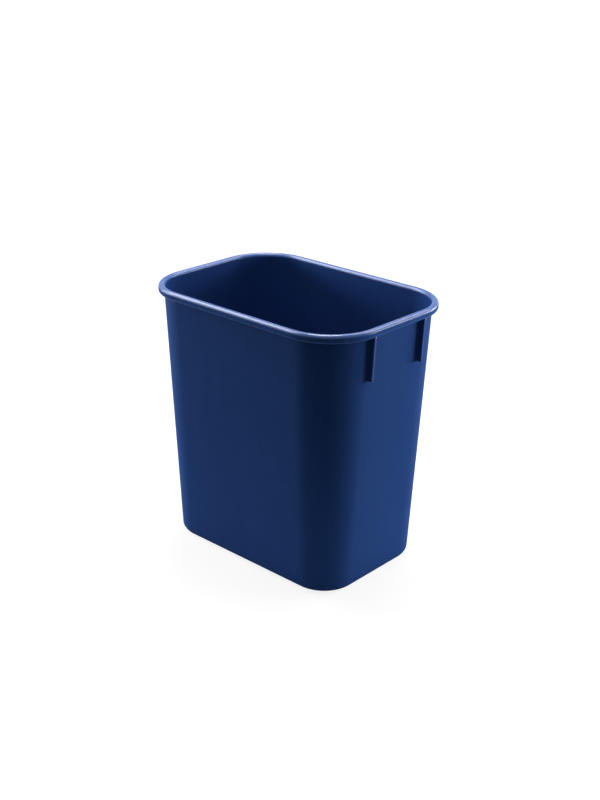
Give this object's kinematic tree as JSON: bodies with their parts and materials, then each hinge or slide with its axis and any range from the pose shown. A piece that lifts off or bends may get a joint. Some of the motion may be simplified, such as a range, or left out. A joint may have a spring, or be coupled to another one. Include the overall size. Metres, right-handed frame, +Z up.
{
  "type": "wastebasket",
  "caption": "Rectangular open-topped office wastebasket, moulded in dark blue plastic with rounded corners, leaning walls, a rolled rim and short nest ribs under the rim at both ends.",
  "frame": {"origin": "middle of the base, on the plane that the foot stands on", "axes": "+Z up; X along the length, with the right-hand end at +X; the long front wall faces -Y"},
  "size_m": [0.365, 0.26, 0.381],
  "materials": {
    "basket_plastic": "satin moulded polyethylene with a fine texture"
  },
  "bodies": {
    "root": {"floor_panel": "basket_plastic", "base_edge": "basket_plastic", "front_wall": "basket_plastic", "rear_wall": "basket_plastic", "left_end_wall": "basket_plastic", "right_end_wall": "basket_plastic", "front_left_corner": "basket_plastic", "front_right_corner": "basket_plastic", "rear_left_corner": "basket_plastic", "rear_right_corner": "basket_plastic", "rolled_rim": "basket_plastic", "right_front_nest_rib": "basket_plastic", "right_rear_nest_rib": "basket_plastic", "left_front_nest_rib": "basket_plastic", "left_rear_nest_rib": "basket_plastic"}
  },
  "joints": []
}
